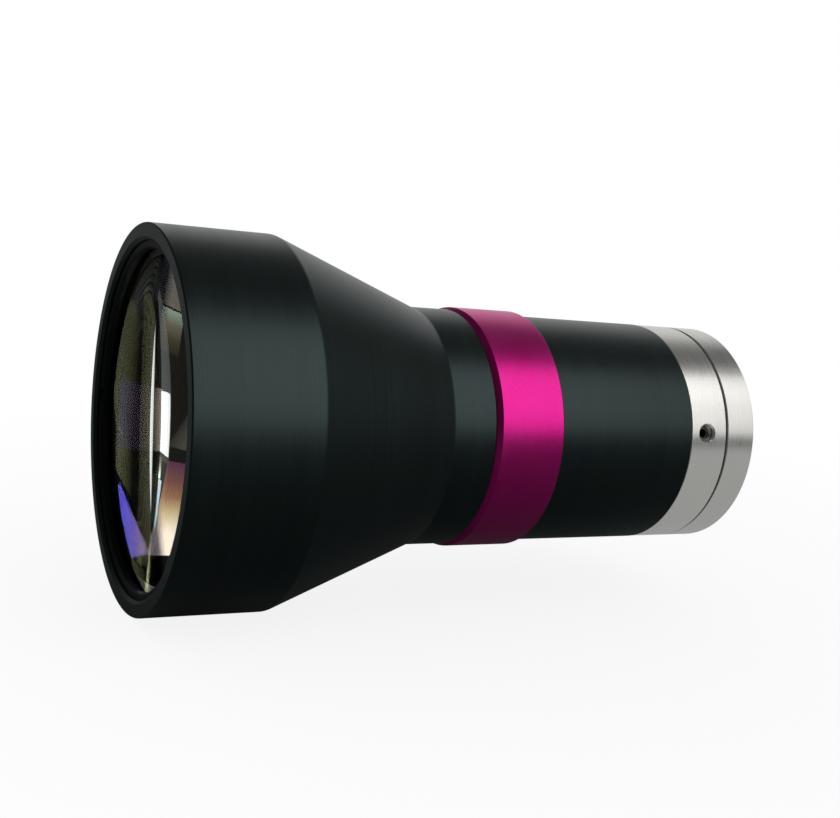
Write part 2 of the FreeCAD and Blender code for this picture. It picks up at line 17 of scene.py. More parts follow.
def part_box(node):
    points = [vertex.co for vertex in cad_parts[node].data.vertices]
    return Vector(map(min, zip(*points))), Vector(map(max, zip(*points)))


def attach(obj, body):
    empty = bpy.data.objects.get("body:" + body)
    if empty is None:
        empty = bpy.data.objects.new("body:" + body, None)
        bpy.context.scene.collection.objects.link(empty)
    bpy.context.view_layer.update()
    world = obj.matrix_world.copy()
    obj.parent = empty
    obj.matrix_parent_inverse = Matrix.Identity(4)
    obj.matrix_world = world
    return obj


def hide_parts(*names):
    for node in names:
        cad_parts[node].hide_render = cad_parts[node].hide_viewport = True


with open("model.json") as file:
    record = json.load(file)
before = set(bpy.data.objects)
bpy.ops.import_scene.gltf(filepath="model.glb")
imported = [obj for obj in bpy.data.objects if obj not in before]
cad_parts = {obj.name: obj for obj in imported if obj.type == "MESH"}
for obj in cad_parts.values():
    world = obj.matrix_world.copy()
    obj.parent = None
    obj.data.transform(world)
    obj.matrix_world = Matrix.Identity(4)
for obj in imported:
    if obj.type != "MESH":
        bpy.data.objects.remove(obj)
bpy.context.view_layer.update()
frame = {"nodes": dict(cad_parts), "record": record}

MM = 0.001
TURN = 2 * math.pi
QUARTER_TURN = 0.25
UP = (0.0, 0.0, 1.0)
# Faces round a turned piece, and faces across a rounded edge.
SEGMENTS = 256
EASE_STEPS = 4
# Ridge of a thread, as parts of its pitch along the axis and parts of its height, and how far its
# foot is sunk into the wall.
THREAD_OUTLINE = ((-0.47, 0.0), (-0.08, 1.0), (0.08, 1.0), (0.47, 0.0))
THREAD_SUNK = 0.02
# Width of the clouds in a blasted metal's tone, and the range that the tone mostly stays in.
CLOUD_MM = 9.0
TONE_REACH = (0.1, 0.45)
# Refractive indices of the front glass and of the denser glass behind it.
CROWN_INDEX = 1.52
DENSE_INDEX = 1.62
LOG = logging.getLogger("telecentric_lens")

Tree = bpy.types.NodeTree
Socket = bpy.types.NodeSocket
Material = bpy.types.Material
Inputs = dict[str | int, object]
Stops = Sequence[tuple[float, str]]
Span = tuple[float, float]
Triple = tuple[float, float, float]


class Slot(Enum):
    """Material slots that the record names."""

    BLACK = "black_anodised"
    MAGENTA = "magenta_anodised"
    BARE = "turned_aluminium"
    INNER = "black_inner"
    STEEL = "black_steel"
    FRONT_GLASS = "front_glass"
    OBJECTIVE_GLASS = "objective_glass"
    RELAY_GLASS = "relay_glass"


class Body(Enum):
    """Rigid bodies that the pieces ride on."""

    LENS = "lens"
    MOUNT = "mount"


def linear(sheet_colour: str) -> tuple[float, float, float, float]:
    """Turn an sRGB hex colour into linear light.

    Args:
        sheet_colour: Six hex digits.

    Returns:
        Linear red, green, blue and an alpha of one.
    """
    parts = [int(sheet_colour[i:i + 2], 16) / 255 for i in (0, 2, 4)]
    light = [p / 12.92 if p <= 0.04045 else ((p + 0.055) / 1.055) ** 2.4 for p in parts]
    return (light[0], light[1], light[2], 1.0)


def add_node(
    tree: Tree, kind: str, settings: dict[str, object] | None = None, inputs: Inputs | None = None
) -> bpy.types.Node:
    """Add a node with its settings, socket values and links.

    Args:
        tree: Node tree that takes the node.
        kind: Blender's name of the node type.
        settings: Properties of the node and their values.
        inputs: Socket name or number to a value, or to the output socket that feeds it.

    Returns:
        The new node.
    """
    node = tree.nodes.new(kind)
    for name, value in (settings or {}).items():
        setattr(node, name, value)
    for name, value in (inputs or {}).items():
        if isinstance(value, bpy.types.NodeSocket):
            tree.links.new(value, node.inputs[name])
        else:
            node.inputs[name].default_value = value
    return node


def empty_material(name: str) -> Material:
    """Make a material.

    Args:
        name: Name of the material.

    Returns:
        The material, with an empty node tree.
    """
    material = bpy.data.materials.new(name)
    material.use_nodes = True
    material.node_tree.nodes.clear()
    return material


def close_material(material: Material, surface: Socket) -> None:
    """Feed a surface to the material's output."""
    add_node(material.node_tree, "ShaderNodeOutputMaterial", inputs={"Surface": surface})


def set_stops(ramp: bpy.types.ColorRamp, stops: Stops) -> None:
    """Lay colours along a ramp.

    Args:
        ramp: The ramp, as Blender first makes it.
        stops: Places from 0 to 1 with their hex colours, in order.
    """
    ramp.elements.remove(ramp.elements[1])
    for place, colour in stops[1:]:
        ramp.elements.new(place).color = linear(colour)
    ramp.elements[0].position, ramp.elements[0].color = stops[0][0], linear(stops[0][1])


def place_on_piece(tree: Tree) -> Socket:
    """Place of a point on its piece, in metres."""
    return add_node(tree, "ShaderNodeTexCoord").outputs["Object"]


def work_out(tree: Tree, operation: str, *values: object) -> Socket:
    """Work out one number from others."""
    return add_node(tree, "ShaderNodeMath", {"operation": operation}, dict(enumerate(values))).outputs[0]


def length_of(tree: Tree, vector: Socket) -> Socket:
    """Length of a vector."""
    return add_node(tree, "ShaderNodeVectorMath", {"operation": "LENGTH"}, {0: vector}).outputs["Value"]


def blend(tree: Tree, share: Socket, first: object, second: object, kind: str = "RGBA") -> Socket:
    """Blend two colours, or two numbers where the kind is FLOAT."""
    inputs = {"Factor": share, "A": first, "B": second}
    return add_node(tree, "ShaderNodeMix", {"data_type": kind}, inputs).outputs["Result"]


def blend_surfaces(tree: Tree, share: object, first: Socket, second: Socket) -> Socket:
    """Blend two surfaces; the share is that of the second."""
    return add_node(tree, "ShaderNodeMixShader", inputs={0: share, 1: first, 2: second}).outputs[0]


def stretch(tree: Tree, value: Socket, reach: Span, onto: Span, curve: str = "LINEAR") -> Socket:
    """Carry a number from one range onto another.

    Args:
        tree: Node tree that takes the node.
        value: The number.
        reach: Range that it comes from; past its ends the result stays at the ends of the other.
        onto: Range of the result.
        curve: How the result runs between its ends.

    Returns:
        The carried number.
    """
    ends = zip(("From Min", "From Max", "To Min", "To Max"), (*reach, *onto))
    inputs = {"Value": value, **dict(ends)}
    return add_node(tree, "ShaderNodeMapRange", {"interpolation_type": curve}, inputs).outputs[0]


def mottle(tree: Tree, place: Socket, width_mm: float, detail: float) -> Socket:
    """Noise from 0 to 1 whose patches have about one width."""
    inputs = {"Vector": place, "Scale": 1 / (width_mm * MM), "Detail": detail}
    return add_node(tree, "ShaderNodeTexNoise", inputs=inputs).outputs["Fac"]


def emboss(tree: Tree, height: Socket, depth_mm: float, below: Socket | None = None) -> Socket:
    """Tilt the surface as its small heights and hollows do.

    Args:
        tree: Node tree of the material.
        height: Height from 0 to 1.
        depth_mm: What a height of one comes to.
        below: Normal that is already tilted; none is the smooth surface.

    Returns:
        The tilted normal.
    """
    inputs: Inputs = {"Height": height, "Distance": depth_mm * MM, "Strength": 1.0}
    if below is not None:
        inputs["Normal"] = below
    return add_node(tree, "ShaderNodeBump", inputs=inputs).outputs[0]


def clear_glass(tree: Tree, colour: str, index: float) -> Socket:
    """Polished glass without a film."""
    inputs = {"Base Color": linear(colour), "Roughness": 0.0, "IOR": index, "Transmission Weight": 1.0}
    return add_node(tree, "ShaderNodeBsdfPrincipled", inputs=inputs).outputs[0]


def seen_in_mirrors(tree: Tree, rays: bpy.types.Node) -> Socket:
    """One where metal or glass mirrors or passes the view of a spot, and zero elsewhere."""
    seen = rays.outputs
    return work_out(tree, "MAXIMUM", seen["Is Glossy Ray"], seen["Is Transmission Ray"])


@dataclass(frozen=True)
class Turning:
    """Grooves that a lathe tool leaves round the axis.

    Attributes:
        pitch_mm: Width of one groove.
        variation_mm: Width over which the grooves change.
        depth_mm: Depth of the deepest.
    """

    pitch_mm: float
    variation_mm: float
    depth_mm: float

    def bands(self, tree: Tree) -> list[Socket]:
        """Draw the grooves as noise along the turned outline: along X plus away from the axis.

        Args:
            tree: Node tree of the material.

        Returns:
            Noise from groove to groove and noise over many grooves, both from 0 to 1.
        """
        parts = add_node(tree, "ShaderNodeSeparateXYZ", inputs={0: place_on_piece(tree)}).outputs
        across = add_node(tree, "ShaderNodeCombineXYZ", inputs={"Y": parts["Y"], "Z": parts["Z"]})
        along = work_out(tree, "ADD", parts["X"], length_of(tree, across.outputs[0]))
        noises = []
        for width in (self.pitch_mm, self.variation_mm):
            inputs = {"W": along, "Scale": 1 / (width * MM), "Detail": 2.0, "Roughness": 0.6}
            noises.append(add_node(tree, "ShaderNodeTexNoise", {"noise_dimensions": "1D"}, inputs))
        return [noise.outputs["Fac"] for noise in noises]


@dataclass(frozen=True)
class Metal:
    """Metal piece: its colour, how rough it is and what the lathe or the blasting left on it.

    Attributes:
        name: Name of the material.
        colour: Colour of most of it.
        worn: Colour of its lightest spots.
        roughness: Middle roughness.
        roughness_spread: How far the roughness goes to either side.
        grain_mm: Width of the blasted or dyed grain.
        grain_depth_mm: Depth of the grain.
        tone_spread: How far the tone goes from the one colour to the other.
        turning: Grooves of the lathe, if it was turned last.
        anisotropy: How far the grooves draw highlights out across them.
    """

    name: str
    colour: str
    worn: str
    roughness: float
    roughness_spread: float
    grain_mm: float
    grain_depth_mm: float
    tone_spread: float
    turning: Turning | None = None
    anisotropy: float = 0.0

    def build(self) -> Material:
        """Make the material.

        Returns:
            A metallic material with turned bands or blasted grain and a little uneven tone.
        """
        material = empty_material(self.name)
        tree = material.node_tree
        place = place_on_piece(tree)
        grain = mottle(tree, place, self.grain_mm, 2.0)
        normal = emboss(tree, grain, self.grain_depth_mm)
        if self.turning is None:
            tone = work_out(tree, "MULTIPLY", grain, mottle(tree, place, CLOUD_MM, 3.0))
        else:
            fine, broad = self.turning.bands(tree)
            normal = emboss(tree, fine, self.turning.depth_mm, normal)
            tone = work_out(tree, "MULTIPLY", fine, broad)
        low, high = self.roughness - self.roughness_spread, self.roughness + self.roughness_spread
        share = stretch(tree, tone, TONE_REACH, (0.0, self.tone_spread))
        inputs: Inputs = {
            "Base Color": blend(tree, share, linear(self.colour), linear(self.worn)),
            "Metallic": 1.0,
            "Roughness": stretch(tree, tone, TONE_REACH, (low, high)),
            "Normal": normal,
        }
        if self.anisotropy > 0:
            around = add_node(tree, "ShaderNodeTangent", {"direction_type": "RADIAL", "axis": "X"})
            inputs["Anisotropic"] = self.anisotropy
            inputs["Anisotropic Rotation"] = QUARTER_TURN
            inputs["Tangent"] = around.outputs[0]
        close_material(material, add_node(tree, "ShaderNodeBsdfPrincipled", inputs=inputs).outputs[0])
        return material


@dataclass(frozen=True)
class CoatedGlass:
    """Polished optical glass with a film that holds back and tints its reflection.

    Attributes:
        name: Name of the material.
        glass: Colour of the glass itself.
        index: Refractive index.
        film: What the film leaves of each colour, against the share that bare glass reflects.
        bare_share: Share of the face that reflects as bare glass does.
    """

    name: str
    glass: str
    index: float
    film: Stops
    bare_share: float = 0.01

    def build(self) -> Material:
        """Make the material.

        Returns:
            A clear material that shows tinted reflections, stronger at a slant.
        """
        material = empty_material(self.name)
        tree = material.node_tree
        bent = {"Color": linear(self.glass), "Roughness": 0.0, "IOR": self.index}
        through = add_node(tree, "ShaderNodeBsdfRefraction", inputs=bent)
        share = add_node(tree, "ShaderNodeFresnel", inputs={"IOR": self.index}).outputs[0]
        tint = add_node(tree, "ShaderNodeValToRGB", inputs={"Fac": share})
        set_stops(tint.color_ramp, self.film)
        shine = {"Color": tint.outputs[0], "Roughness": 0.0}
        mirror = add_node(tree, "ShaderNodeBsdfGlossy", inputs=shine)
        coated = blend_surfaces(tree, share, through.outputs[0], mirror.outputs[0])
        bare = clear_glass(tree, self.glass, self.index)
        close_material(material, blend_surfaces(tree, self.bare_share, coated, bare))
        return material


@dataclass(frozen=True)
class CementedFace:
    """Face where two elements are cemented: light goes straight through and nothing shines."""

    name: str = "cemented_glass_face"

    def build(self) -> Material:
        """Make the material, with an index of one because glass meets glass there."""
        material = empty_material(self.name)
        close_material(material, clear_glass(material.node_tree, "FFFFFF", 1.0))
        return material


# Turned aluminium, dyed black while it is anodised: a satin sheen with a cool green cast.
BLACK_ANODISED = Metal(
    name="black_anodised_turned_aluminium",
    colour="2E3736",
    worn="374140",
    roughness=0.36,
    roughness_spread=0.02,
    grain_mm=0.3,
    grain_depth_mm=0.002,
    tone_spread=0.5,
    turning=Turning(pitch_mm=0.35, variation_mm=4.0, depth_mm=0.0015),
)
# Aluminium blasted with fine beads and dyed magenta: an even sparkle and no lathe marks.
MAGENTA_ANODISED = Metal(
    name="magenta_anodised_blasted_aluminium",
    colour="C81C80",
    worn="DC3A96",
    roughness=0.35,
    roughness_spread=0.03,
    grain_mm=0.25,
    grain_depth_mm=0.012,
    tone_spread=0.6,
)
# Fine turned aluminium, left bare: bright, with the tool's rings round it.
BARE_TURNED = Metal(
    name="bare_fine_turned_aluminium",
    colour="DAD9D4",
    worn="E0DFDA",
    roughness=0.3,
    roughness_spread=0.04,
    grain_mm=0.3,
    grain_depth_mm=0.001,
    tone_spread=0.8,
    turning=Turning(pitch_mm=0.3, variation_mm=3.0, depth_mm=0.002),
    anisotropy=0.7,
)
# Rings and bores that light must not bounce off: dyed deep black over a dull cut.
INNER_BLACK = Metal(
    name="dull_black_anodised_aluminium",
    colour="202426",
    worn="2A2F31",
    roughness=0.5,
    roughness_spread=0.03,
    grain_mm=0.2,
    grain_depth_mm=0.003,
    tone_spread=0.5,
    turning=Turning(pitch_mm=0.4, variation_mm=3.0, depth_mm=0.006),
)
# Alloy steel with a black oxide, oiled: darker and sharper than the anodised parts.
BLACK_STEEL = Metal(
    name="black_oxide_alloy_steel",
    colour="4A4845",
    worn="6E6A64",
    roughness=0.35,
    roughness_spread=0.05,
    grain_mm=0.15,
    grain_depth_mm=0.003,
    tone_spread=0.5,
)
# Crown glass, polished, with a film of several layers: cream where it faces the eye, then nearly
# nothing, then violet and deep blue where it turns away.
FRONT_FACE = CoatedGlass(
    "coated_front_face",
    "FAFCFA",
    CROWN_INDEX,
    (
        (0.15, "CDC8B8"),
        (0.19, "CDBFAE"),
        (0.21, "3F3A3C"),
        (0.25, "2B252F"),
        (0.27, "281838"),
        (0.3, "160C3C"),
        (0.36, "0B0349"),
        (0.5, "0B0349"),
        (0.95, "FFFFFF"),
    ),
)
# The back of the same glass: its film leaves olive green, and all light past the critical angle.
FRONT_REAR_FACE = CoatedGlass(
    "coated_front_rear_face",
    "FAFCFA",
    CROWN_INDEX,
    (
        (0.04, "E8F0C8"),
        (0.1, "D8D490"),
        (0.15, "9C9868"),
        (0.2, "5C5A40"),
        (0.85, "5E6054"),
        (0.97, "FFFFFF"),
    ),
)
# The pair behind it is of denser glass, with a blue and violet shine.
OBJECTIVE_GLASS = CoatedGlass(
    "coated_objective_glass",
    "F6F6FA",
    DENSE_INDEX,
    ((0.05, "3A18B0"), (0.25, "705090"), (0.8, "FFFFFF")),
)
# The relay behind the stop has a film that leaves green.
RELAY_GLASS = CoatedGlass(
    "coated_relay_glass",
    "F6F6FA",
    DENSE_INDEX,
    ((0.05, "285038"), (0.25, "608870"), (0.8, "FFFFFF")),
)


@dataclass(frozen=True)
class Axis:
    """Line that an outline is turned about, in millimetres."""

    origin: Vector
    along: Vector
    up: Vector

    def point(self, along: float, radius: float, angle: float) -> Vector:
        """Point at a distance along and away from the axis; angle 0 is the up direction."""
        return self.origin + self.slope(along, radius, angle)

    def slope(self, along: float, outward: float, angle: float) -> Vector:
        """Direction with a part along the axis and a part away from it."""
        side = self.along.cross(self.up)
        return self.along * along + (self.up * math.cos(angle) + side * math.sin(angle)) * outward


OPTICAL_AXIS = Axis(Vector((0.0, 0.0, 0.0)), Vector((1.0, 0.0, 0.0)), Vector((0.0, 0.0, 1.0)))


@dataclass(frozen=True)
class Corner:
    """Corner of a turned outline.

    Attributes:
        x: Place along the axis.
        r: Distance from the axis.
        ease: How far back the edge is rounded on both sides; 0 leaves it sharp.
        slot: Material slot of the faces that follow the corner.
    """

    x: float
    r: float
    ease: float = 0.0
    slot: int = 0


def inside(x: float, r: float, ease: float = 0.0) -> Corner:
    """Corner of a stretch that has the inner finish, a piece's second material."""
    return Corner(x, r, ease, slot=1)


@dataclass(frozen=True)
class Ring:
    """One circle of a turned mesh.

    Attributes:
        x: Place along the axis.
        r: Distance from the axis.
        before: Outward direction of the faces before it, along and away from the axis.
        after: Outward direction of the faces after it.
        slot: Material slot of the faces after it.
    """

    x: float
    r: float
    before: tuple[float, float]
    after: tuple[float, float]
    slot: int = 0


def unit(x: float, r: float) -> tuple[float, float]:
    """Scale a direction to a length of one."""
    size = math.hypot(x, r)
    return (x / size, r / size)


def eased_outline(corners: Sequence[Corner]) -> list[Ring]:
    """Round the corners of a closed outline and work out the slopes beside each point.

    Args:
        corners: Corners in order, with the solid on the right of the way they run when X points
            right and the radius up.

    Returns:
        Rings of the turned mesh, in order.
    """
    count = len(corners)
    sides = [
        unit(corners[(i + 1) % count].x - c.x, corners[(i + 1) % count].r - c.r)
        for i, c in enumerate(corners)
    ]
    slopes = [(-side[1], side[0]) for side in sides]
    rings: list[Ring] = []
    for i, corner in enumerate(corners):
        if corner.ease == 0:
            rings.append(Ring(corner.x, corner.r, slopes[i - 1], slopes[i], corner.slot))
            continue
        came, goes = sides[i - 1], sides[i]
        turn = math.atan2(came[0] * goes[1] - came[1] * goes[0], came[0] * goes[0] + came[1] * goes[1])
        radius = corner.ease / math.tan(abs(turn) / 2)
        side = 1 if turn < 0 else -1
        centre_x = corner.x - came[0] * corner.ease - side * slopes[i - 1][0] * radius
        centre_r = corner.r - came[1] * corner.ease - side * slopes[i - 1][1] * radius
        for step in range(EASE_STEPS + 1):
            lean = turn * step / EASE_STEPS
            slope = (
                slopes[i - 1][0] * math.cos(lean) - slopes[i - 1][1] * math.sin(lean),
                slopes[i - 1][0] * math.sin(lean) + slopes[i - 1][1] * math.cos(lean),
            )
            x = centre_x + side * slope[0] * radius
            r = centre_r + side * slope[1] * radius
            rings.append(Ring(x, r, slope, slope, corner.slot))
    return rings


@dataclass
class Shell:
    """Faces of one piece as they are gathered, with a normal for each face corner."""

    points: list[Vector] = field(default_factory=list)
    faces: list[tuple[int, ...]] = field(default_factory=list)
    normals: list[Vector] = field(default_factory=list)
    slots: list[int] = field(default_factory=list)

    def add_point(self, point: Vector) -> int:
        """Add a point in millimetres and give its number."""
        self.points.append(point)
        return len(self.points) - 1

    def add_face(self, corners: Sequence[int], normals: Sequence[Vector], slot: int = 0) -> None:
        """Add a face, wound so that it faces the way its normals point.

        Args:
            corners: Point numbers in order round the face; a number may repeat where the face
                narrows to a triangle.
            normals: One normal for each corner.
            slot: Number of the material slot.
        """
        kept = [i for i, c in enumerate(corners) if c != corners[i - 1]]
        if len(kept) < 3:
            return
        spots = [self.points[corners[i]] for i in kept]
        facing = Vector((0.0, 0.0, 0.0))
        for i, spot in enumerate(spots):
            facing += (spots[i - 1] - spots[0]).cross(spot - spots[0])
        if facing.dot(sum((normals[i] for i in kept), Vector((0.0, 0.0, 0.0)))) < 0:
            kept.reverse()
        self.faces.append(tuple(corners[i] for i in kept))
        self.normals.extend(normals[i] for i in kept)
        self.slots.append(slot)

    def add_turned(
        self,
        rings: Sequence[Ring],
        segments: int,
        axis: Axis = OPTICAL_AXIS,
        closed: bool = True,
        skip: Callable[[int, int], bool] | None = None,
    ) -> list[list[int]]:
        """Turn an outline about an axis.

        Args:
            rings: Points of the outline with their slopes.
            segments: Faces round the axis.
            axis: The axis.
            closed: Whether the last ring joins the first.
            skip: Tells for a ring number and a segment number whether that face is left out.

        Returns:
            Point numbers by ring and segment.
        """
        angles = [TURN * s / segments for s in range(segments + 1)]
        rows: list[list[int]] = []
        for ring in rings:
            if ring.r == 0:
                rows.append([self.add_point(axis.point(ring.x, 0.0, 0.0))] * segments)
                continue
            rows.append([self.add_point(axis.point(ring.x, ring.r, a)) for a in angles[:-1]])
        for i in range(len(rings) if closed else len(rings) - 1):
            j = (i + 1) % len(rings)
            for s in range(segments):
                if skip is not None and skip(i, s):
                    continue
                t = (s + 1) % segments
                self.add_face(
                    [rows[i][s], rows[i][t], rows[j][t], rows[j][s]],
                    [
                        axis.slope(*rings[i].after, angles[s]),
                        axis.slope(*rings[i].after, angles[s + 1]),
                        axis.slope(*rings[j].before, angles[s + 1]),
                        axis.slope(*rings[j].before, angles[s]),
                    ],
                    rings[i].slot,
                )
        return rows

    def add_thread(
        self,
        axis: Axis,
        start: float,
        end: float,
        root: float,
        crest: float,
        pitch: float,
        segments: int = 144,
    ) -> None:
        """Wind the ridge of a screw thread on a wall; it fades out over a quarter turn at each end.

        Args:
            axis: Axis of the thread.
            start: Place along the axis where the ridge starts.
            end: Place along the axis where the ridge ends.
            root: Radius of the wall.
            crest: Radius of the top of the ridge, which may be outside or inside the wall.
            pitch: Distance from one turn to the next.
            segments: Steps in one turn.
        """
        facing = 1.0 if crest > root else -1.0
        foot = root - THREAD_SUNK * facing
        steps = int((end - start - pitch) / pitch * segments)
        rows: list[list[tuple[int, float, float]]] = []
        for step in range(steps + 1):
            angle = TURN * step / segments
            fade = min(1.0, 4 * step / segments, 4 * (steps - step) / segments)
            place = start + pitch / 2 + pitch * step / segments
            row = []
            for along, height in THREAD_OUTLINE:
                x = place + along * pitch
                r = foot + (crest - foot) * height * fade
                row.append((self.add_point(axis.point(x, r, angle)), x, r))
            rows.append(row)
        for step in range(steps):
            here, there = TURN * step / segments, TURN * (step + 1) / segments
            for k in range(len(THREAD_OUTLINE) - 1):
                a, b = rows[step][k], rows[step][k + 1]
                c, d = rows[step + 1][k + 1], rows[step + 1][k]
                near = unit(-(b[2] - a[2]) * facing, (b[1] - a[1]) * facing)
                far = unit(-(c[2] - d[2]) * facing, (c[1] - d[1]) * facing)
                normals = [axis.slope(*near, here)] * 2 + [axis.slope(*far, there)] * 2
                self.add_face([a[0], b[0], c[0], d[0]], normals)

    def finish(self, name: str, materials: Sequence[Material]) -> bpy.types.Object:
        """Make the Blender object.

        Args:
            name: Name of the piece.
            materials: Materials in the order of the slots.

        Returns:
            The object, linked to the scene.
        """
        mesh = bpy.data.meshes.new(name)
        mesh.from_pydata([p * MM for p in self.points], [], self.faces)
        for material in materials:
            mesh.materials.append(material)
        mesh.polygons.foreach_set("material_index", self.slots)
        mesh.polygons.foreach_set("use_smooth", [True] * len(self.faces))
        mesh.normals_split_custom_set([n.normalized() for n in self.normals])
        mesh.update()
        return new_object(name, mesh)


def new_object(name: str, data: bpy.types.ID) -> bpy.types.Object:
    """Make an object.

    Args:
        name: Name of the object.
        data: Its mesh, lamp or camera.

    Returns:
        The object, linked to the scene.
    """
    made = bpy.data.objects.new(name, data)
    bpy.context.scene.collection.objects.link(made)
    return made


def stand(thing: bpy.types.Object, place: Vector, right: Vector, up: Vector, back: Vector) -> None:
    """Put a lamp or a camera, which looks away from its back, in its place."""
    turn = Matrix((right, up, back)).transposed().to_4x4()
    thing.matrix_world = Matrix.Translation(place) @ turn


def turned_piece(
    name: str, corners: Sequence[Corner], materials: Sequence[Material]
) -> bpy.types.Object:
    """Turn one closed outline into a piece.

    Args:
        name: Name of the piece.
        corners: Corners of the outline.
        materials: Its outer and inner finish.

    Returns:
        The piece.
    """
    shell = Shell()
    shell.add_turned(eased_outline(corners), SEGMENTS)
    return shell.finish(name, materials)


def settle(piece: bpy.types.Object, body: Body, node: str) -> None:
    """Put a piece on its body, in place of a solid, and report it.

    Args:
        piece: The finished piece.
        body: Body that it rides on.
        node: Solid that it stands for.
    """
    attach(piece, body.value)
    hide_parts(node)
    LOG.info("%s: %d faces on %s", piece.name, len(piece.data.polygons), body.value)


def front_of(node: str) -> float:
    """Lowest X of a solid, in millimetres."""
    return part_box(node)[0].x / MM


def rear_of(node: str) -> float:
    """Highest X of a solid, in millimetres."""
    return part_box(node)[1].x / MM


def middle_of(node: str) -> float:
    """Middle of a solid along X, in millimetres."""
    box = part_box(node)
    return (box[0].x + box[1].x) / 2 / MM


def radius_of(node: str) -> float:
    """Largest distance of a turned solid from the axis, in millimetres."""
    return max(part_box(node)[1].z, -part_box(node)[0].z) / MM


class Finishes:
    """Materials of the lens, each made once."""

    def __init__(self) -> None:
        """Build every finish."""
        self.black = BLACK_ANODISED.build()
        self.magenta = MAGENTA_ANODISED.build()
        self.bare = BARE_TURNED.build()
        self.inner = INNER_BLACK.build()
        self.steel = BLACK_STEEL.build()
        self.front_face = FRONT_FACE.build()
        self.front_rear_face = FRONT_REAR_FACE.build()
        self.objective_glass = OBJECTIVE_GLASS.build()
        self.relay_glass = RELAY_GLASS.build()
        self.cement = CementedFace().build()


@dataclass
class FrontHousing:
    """Black flared housing, with the bores that hold the front glass and trap stray light."""

    finishes: Finishes
    cylinder_length: float = 19.3
    cone_length: float = 25.9
    rim_bevel: float = 0.5
    rim_edge: float = 0.12
    lip_edge: float = 0.05
    edge: float = 0.25
    crease: float = 0.3
    neck_under_ring: float = 0.45
    glass_clearance: float = 0.05
    thread_step: float = 0.5
    thread_lead: float = 0.3
    seat_width: float = 1.2
    seat_depth: float = 0.97
    seat_land: float = 1.4
    bore_end: float = 16.6
    bore_steps: int = 8
    neck_bore: float = 17.53
    ring_groove: float = 0.25
    groove_edge: float = 0.1

    def light_trap(self, start: float, end: float, seat: float) -> list[Corner]:
        """Steps of the bore behind the glass, from the narrow end to the wide one.

        Args:
            start: Place of the wide end.
            end: Place of the narrow end.
            seat: Radius of the wide end.

        Returns:
            Corners of the steps.
        """
        corners = []
        for step in range(self.bore_steps):
            radius = self.bore_end + (seat - self.bore_end) * step / self.bore_steps
            for share in (step / self.bore_steps, (step + 1) / self.bore_steps):
                corners.append(inside(end - (end - start) * share, radius))
        return corners

    def build(self) -> None:
        """Make the housing."""
        rim, rear = front_of("front_housing"), rear_of("front_housing")
        shoulder = rim + self.cylinder_length
        radius = radius_of("front_housing")
        neck = radius_of("accent_ring") - self.neck_under_ring
        front_bore = radius_of("front_element") + self.glass_clearance
        thread = front_bore + self.thread_step
        objective = radius_of("objective_crown") + self.glass_clearance
        seat = radius_of("objective_crown") - self.seat_width
        step = rear_of("front_spacer") + self.thread_lead
        shelf = rear_of("objective_flint") - self.seat_depth
        baffle = front_of("light_baffle")
        thread_end = rear_of("front_retaining_ring") + self.thread_lead
        corners = [
            Corner(rim, radius, self.edge),
            Corner(shoulder, radius, self.crease),
            Corner(shoulder + self.cone_length, neck, self.crease),
            Corner(rear - self.ring_groove, neck, self.groove_edge),
            inside(rear, neck - self.ring_groove),
            inside(rear, self.neck_bore),
            inside(baffle, self.neck_bore),
            *self.light_trap(shelf + self.seat_land, baffle, seat),
            inside(shelf, seat),
            inside(shelf, objective),
            inside(step, objective),
            inside(step, front_bore),
            inside(thread_end, front_bore),
            inside(thread_end, thread),
            Corner(rim + self.rim_bevel, thread, self.lip_edge),
            Corner(rim, thread + self.rim_bevel, self.rim_edge),
        ]
        piece = turned_piece("flared_front_housing", corners, [self.finishes.black, self.finishes.inner])
        settle(piece, Body.LENS, "front_housing")


@dataclass
class FrontSpacer:
    """Spacer between the front glass and the objective, ribbed so that it reflects little."""

    finishes: Finishes
    rib_pitch: float = 0.6
    rib_depth: float = 0.3
    land: float = 0.8
    lip: float = 0.5

    def build(self) -> None:
        """Make the spacer with its ribs."""
        front, rear = front_of("front_spacer"), rear_of("front_spacer")
        outer = radius_of("front_spacer")
        inner = radius_of("objective_crown") - self.lip
        corners = [Corner(front, outer), Corner(rear, outer), Corner(rear, inner)]
        ribs = int((rear - front - 2 * self.land) / self.rib_pitch)
        for rib in range(ribs):
            place = rear - self.land - rib * self.rib_pitch
            corners.append(Corner(place, inner))
            corners.append(Corner(place - self.rib_pitch / 2, inner + self.rib_depth))
        corners.append(Corner(rear - self.land - ribs * self.rib_pitch, inner))
        corners.append(Corner(front, inner))
        piece = turned_piece("ribbed_front_spacer", corners, [self.finishes.inner])
        settle(piece, Body.LENS, "front_spacer")


@dataclass(frozen=True)
class GlassFace:
    """Spherical face of a lens element; its radius is below 0 where its centre is in front of it."""

    curve: float

    def sag(self, height: float) -> float:
        """Signed distance along the axis from the vertex to the face at a height."""
        return self.curve - math.copysign(math.sqrt(self.curve**2 - height**2), self.curve)

    def slope(self, height: float) -> tuple[float, float]:
        """Direction out of the glass for a front face; the opposite of it for a rear face."""
        lean = math.asin(height / self.curve)
        return (-math.cos(lean), math.sin(lean))


